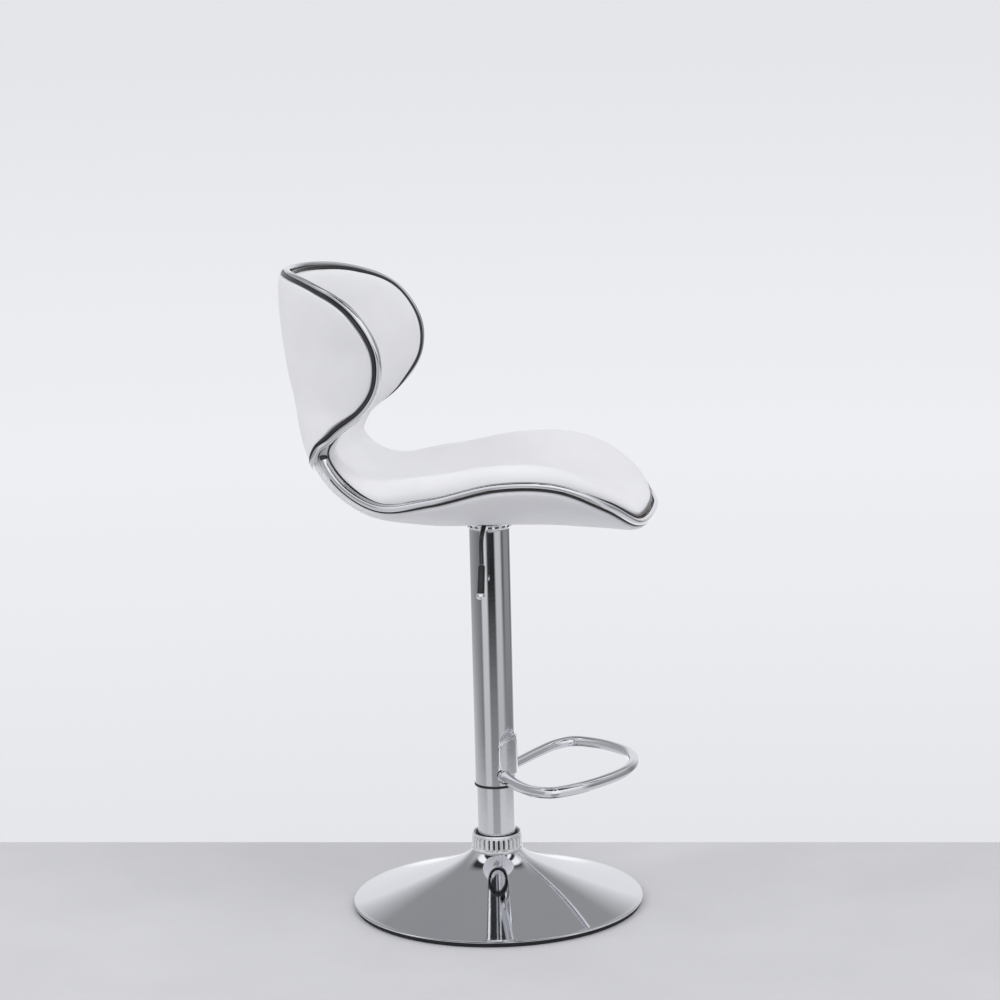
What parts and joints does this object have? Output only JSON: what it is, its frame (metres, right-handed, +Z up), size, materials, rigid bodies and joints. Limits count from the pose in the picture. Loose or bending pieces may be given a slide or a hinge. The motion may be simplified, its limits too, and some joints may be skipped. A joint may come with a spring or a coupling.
{
  "type": "adjustable swivel stool",
  "caption": "Upholstered bucket-seat stool on a gas-lift swivel column with a lever, a footrest loop and a round flared base.",
  "frame": {"origin": "on the floor, below the middle of the whole stool's box; the column's axis is the vertical line at x = 0.0225 m, y = 0", "axes": "+Z up, +X the way the sitter faces (the footrest side), +Y the sitter's left"},
  "size_m": [0.4849, 0.385, 0.8506],
  "materials": {
    "chrome": "polished chrome plate",
    "steel": "bare drawn steel",
    "black_steel": "black stoved enamel on steel",
    "zinc": "bright zinc plate",
    "white_vinyl": "smooth white faux leather (vinyl-coated cloth) over foam, semi-gloss",
    "black_vinyl": "black vinyl piping, semi-gloss",
    "black_plastic": "moulded black plastic, satin",
    "rubber": "matt black rubber",
    "brass": "bearing bronze, machined",
    "birch": "moulded birch plywood"
  },
  "bodies": {
    "base": {"base_dish": "chrome", "floor_ring": "rubber", "base_plate": "steel", "column_flange": "steel", "plate_screw_1": "zinc", "plate_screw_2": "zinc", "plate_screw_3": "zinc", "base_tube": "chrome", "collar_ring": "chrome", "collar_gasket": "rubber", "guide_bush": "black_plastic", "thrust_washer": "steel", "thrust_bearing": "brass"},
    "rod": {"buffer_ring": "rubber", "rod_clip": "zinc", "piston_rod": "steel"},
    "upper": {"gas_cylinder": "black_steel", "sleeve": "chrome", "sleeve_bush": "black_plastic", "hub_cone": "chrome", "release_bracket": "zinc", "pivot_pin": "steel", "seat_bolt_1": "zinc", "seat_bolt_2": "zinc", "seat_bolt_3": "zinc", "seat_bolt_4": "zinc", "footrest_saddle": "chrome", "footrest_loop": "chrome", "seat_board": "birch", "seat_cushion": "white_vinyl", "back_panel": "white_vinyl", "seat_belly": "white_vinyl", "back_trim": "chrome", "back_piping": "black_vinyl", "seat_trim": "chrome", "trim_cap_left": "black_plastic", "trim_cap_right": "black_plastic", "seat_piping": "black_vinyl", "inner_piping": "black_vinyl"},
    "lever": {"lever_arm": "black_steel", "lever_grip": "black_plastic", "lever_cap": "chrome"},
    "button": {"valve_button": "zinc"}
  },
  "joints": [
    {"name": "swivel", "type": "hinge", "parent": "base", "child": "rod", "pos_m": [0.0225, 0, 0.018], "axis": [0, 0, 1], "continuous": true},
    {"name": "lift", "type": "slide", "parent": "rod", "child": "upper", "axis": [0, 0, 1], "range_m": [0, 0.21]},
    {"name": "lever_lift", "type": "hinge", "parent": "upper", "child": "lever", "pos_m": [0.0225, -0.032, 0.521], "axis": [-1, 0, 0], "range_deg": [0, 7], "stiffness_Nm_per_rad": 3, "springref_deg": -2.86},
    {"name": "valve_press", "type": "slide", "parent": "upper", "child": "button", "axis": [0, 0, -1], "range_m": [0, 0.0035]}
  ],
  "couplings": [
    {"joint": "valve_press", "follows": "lever_lift", "m_per_rad": 0.0285}
  ]
}
